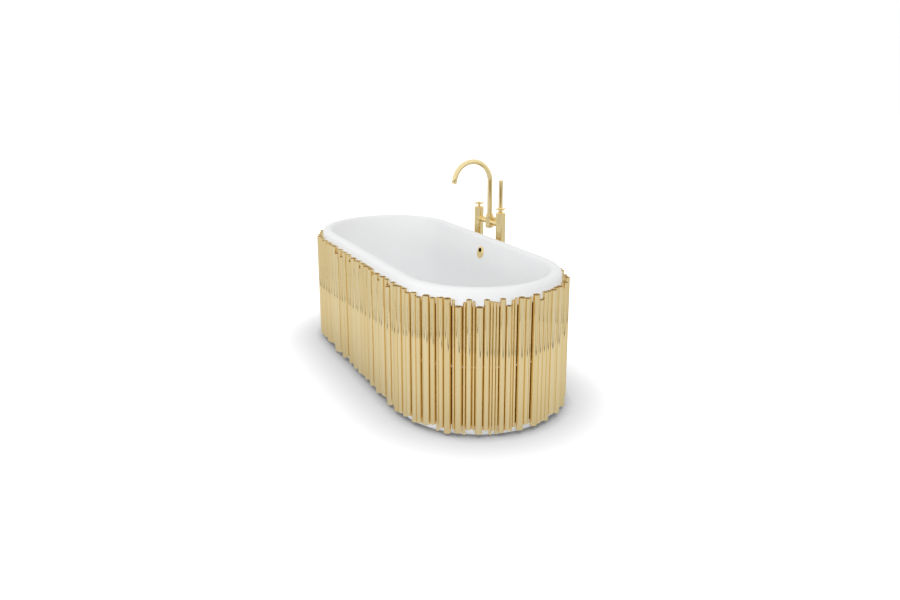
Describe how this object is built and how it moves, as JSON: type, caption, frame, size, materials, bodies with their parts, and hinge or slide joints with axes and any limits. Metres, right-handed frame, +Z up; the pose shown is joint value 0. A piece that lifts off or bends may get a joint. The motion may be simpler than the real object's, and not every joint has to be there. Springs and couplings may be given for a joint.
{
  "type": "oval bathtub",
  "caption": "Free-standing oval bathtub with a white rolled-rim basin, a cladding of upright polished brass tubes, and a floor-standing filler with a stick hand shower.",
  "frame": {"origin": "on the floor, at the lower end of the waste spigot in the middle of the bath", "axes": "+X along the bath, +Y across it towards the filler, +Z up"},
  "size_m": [1.7994, 0.902, 0.9969],
  "materials": {
    "polished_brass": "polished",
    "white_acrylic": "gloss",
    "plain_brass": "as turned",
    "zinc_steel": "zinc plated",
    "black_rubber": "matte",
    "grey_plastic": "satin",
    "plywood": "bare",
    "dark_plastic": "satin"
  },
  "bodies": {
    "bath_and_filler": {"upper_band": "polished_brass", "lower_band": "polished_brass", "large_tubes": "polished_brass", "medium_tubes": "polished_brass", "small_tubes": "polished_brass", "drain_flange": "polished_brass", "overflow_rose": "polished_brass", "left_floor_flange": "polished_brass", "right_floor_flange": "polished_brass", "left_column": "polished_brass", "right_column": "polished_brass", "left_column_cap": "polished_brass", "right_column_cap": "polished_brass", "left_bridge_tube": "polished_brass", "right_bridge_tube": "polished_brass", "mixer_body": "polished_brass", "spout_collar": "polished_brass", "hose_outlet": "polished_brass", "holder_arm": "polished_brass", "hand_shower_cradle": "polished_brass", "basin": "white_acrylic", "skirt": "white_acrylic", "left_supply_pipe": "plain_brass", "right_supply_pipe": "plain_brass", "left_headwork": "plain_brass", "right_headwork": "plain_brass", "frame_rails": "zinc_steel", "cross_members": "zinc_steel", "foot_bosses": "zinc_steel", "lock_nuts": "zinc_steel", "levelling_feet": "zinc_steel", "drain_washer": "black_rubber", "overflow_washer": "black_rubber", "waste_body": "grey_plastic", "tail_pipe": "grey_plastic", "overflow_elbow": "grey_plastic", "overflow_pipe": "grey_plastic", "base_board": "plywood"},
    "left_handle": {"left_cross_handle": "polished_brass", "left_valve_stem": "polished_brass"},
    "right_handle": {"right_cross_handle": "polished_brass", "right_valve_stem": "polished_brass"},
    "spout": {"spout": "polished_brass", "aerator": "dark_plastic"},
    "diverter": {"diverter_knob": "polished_brass"},
    "hand_shower": {"hand_shower": "polished_brass", "spray_face": "dark_plastic"},
    "plug": {"drain_plug": "polished_brass", "plug_seal": "black_rubber"}
  },
  "joints": [
    {"name": "left_handle_turn", "type": "hinge", "parent": "bath_and_filler", "child": "left_handle", "pos_m": [-0.288, 0.455, 0.739], "axis": [0, 0, 1], "range_deg": [0, 90]},
    {"name": "right_handle_turn", "type": "hinge", "parent": "bath_and_filler", "child": "right_handle", "pos_m": [-0.056, 0.455, 0.739], "axis": [0, 0, 1], "range_deg": [-90, 0]},
    {"name": "spout_swivel", "type": "hinge", "parent": "bath_and_filler", "child": "spout", "pos_m": [-0.172, 0.455, 0.687], "axis": [0, 0, 1], "range_deg": [-60, 60]},
    {"name": "diverter_turn", "type": "hinge", "parent": "bath_and_filler", "child": "diverter", "pos_m": [-0.172, 0.4765, 0.664], "axis": [0, 1, 0], "range_deg": [0, 90]},
    {"name": "hand_shower_lift", "type": "slide", "parent": "bath_and_filler", "child": "hand_shower", "axis": [0, 0, 1], "range_m": [0, 0.25]},
    {"name": "plug_lift", "type": "slide", "parent": "bath_and_filler", "child": "plug", "axis": [0, 0, 1], "range_m": [0, 0.009]}
  ]
}
